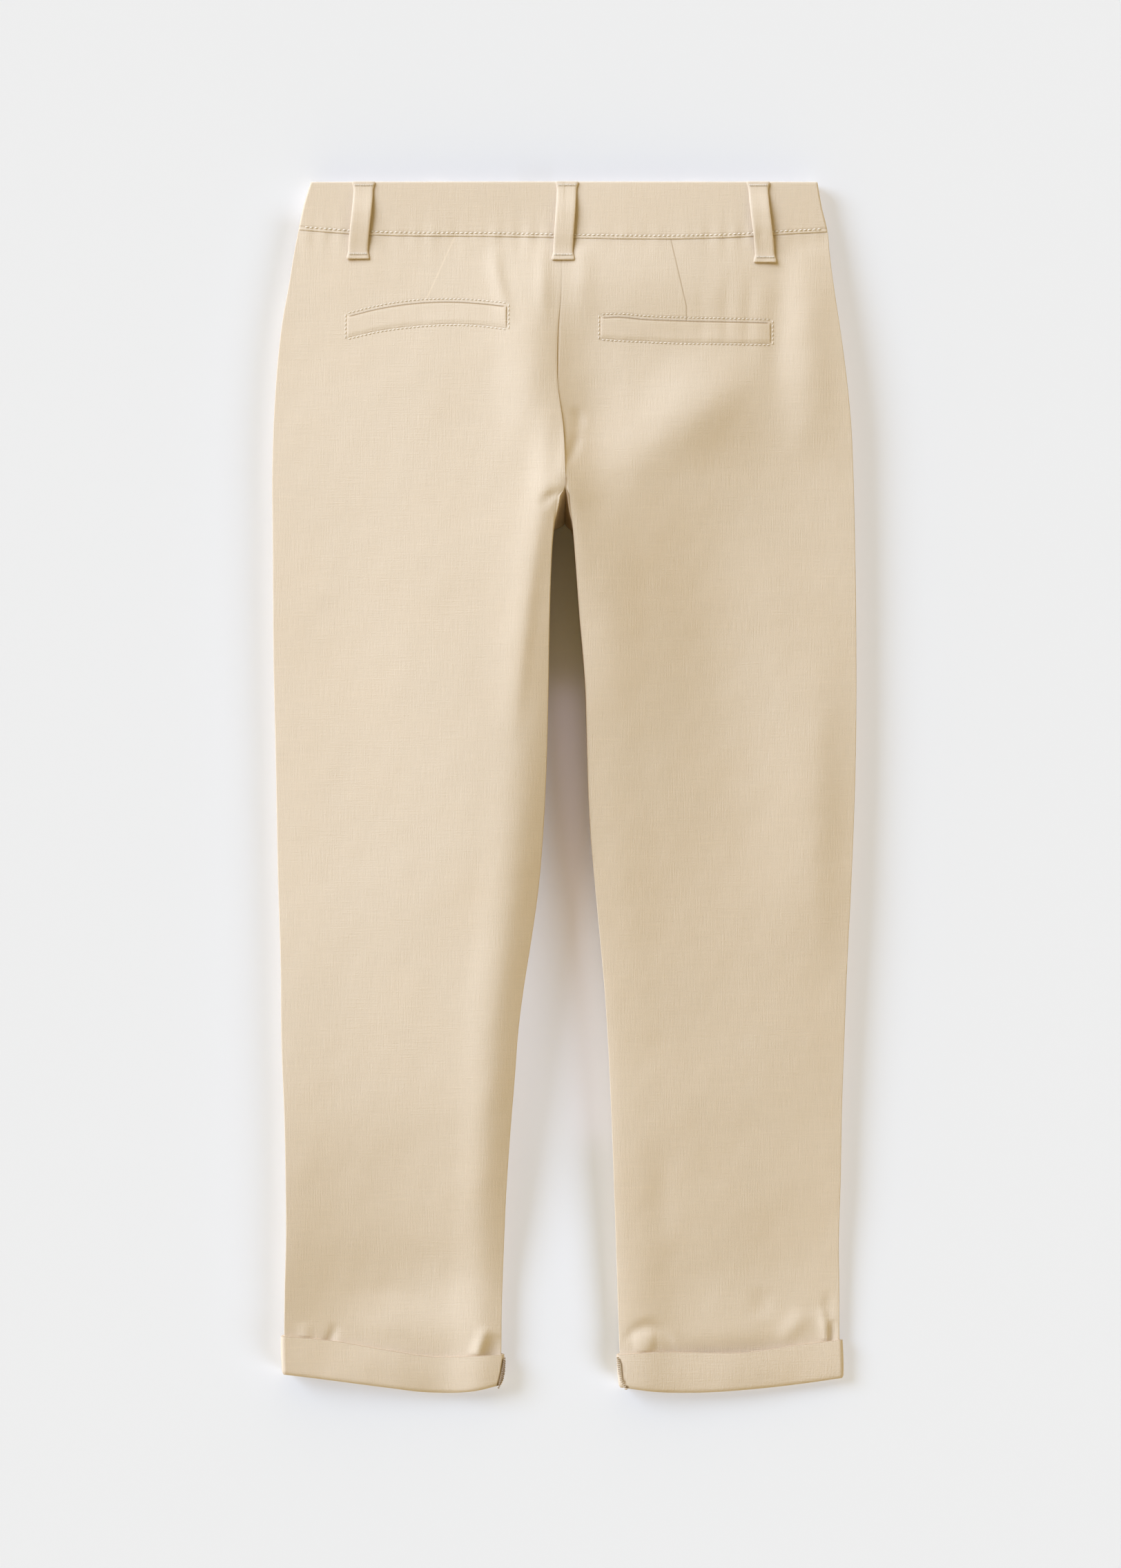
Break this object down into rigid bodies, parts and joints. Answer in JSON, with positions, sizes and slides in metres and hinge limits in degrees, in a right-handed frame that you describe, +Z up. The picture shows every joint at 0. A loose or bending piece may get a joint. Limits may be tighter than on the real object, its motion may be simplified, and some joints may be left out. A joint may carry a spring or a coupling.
{
  "type": "chino trousers",
  "caption": "Ankle-length cotton chino trousers with belt loops, welt back pockets and turned-up cuffs, laid flat with the back side up; hollow cloth walls with open waist and hems.",
  "frame": {"origin": "centre of the footprint on the surface that the trousers lie on", "axes": "+Y towards the waistband, +X towards the wearer's right leg, +Z up through the back side, which faces up"},
  "size_m": [0.4224, 0.8768, 0.05],
  "materials": {
    "twill": "beige cotton twill, matte with a faint sheen",
    "waistband_twill": "the same twill, doubled and stiffened",
    "trim_twill": "the same twill, folded and topstitched",
    "cuff_twill": "the same twill, its turned-up side",
    "button": "satin brown resin"
  },
  "bodies": {
    "root": {"back_left": "twill", "back_right": "twill", "front_left": "twill", "front_right": "twill", "waistband_back": "waistband_twill", "waistband_front_left": "waistband_twill", "waistband_front_right": "waistband_twill", "loop_back_left": "trim_twill", "loop_back_centre": "trim_twill", "loop_back_right": "trim_twill", "loop_front_left": "trim_twill", "loop_front_right": "trim_twill", "welt_left": "trim_twill", "welt_right": "trim_twill", "cuff_left": "cuff_twill", "cuff_right": "cuff_twill", "fly_button": "button"}
  },
  "joints": []
}
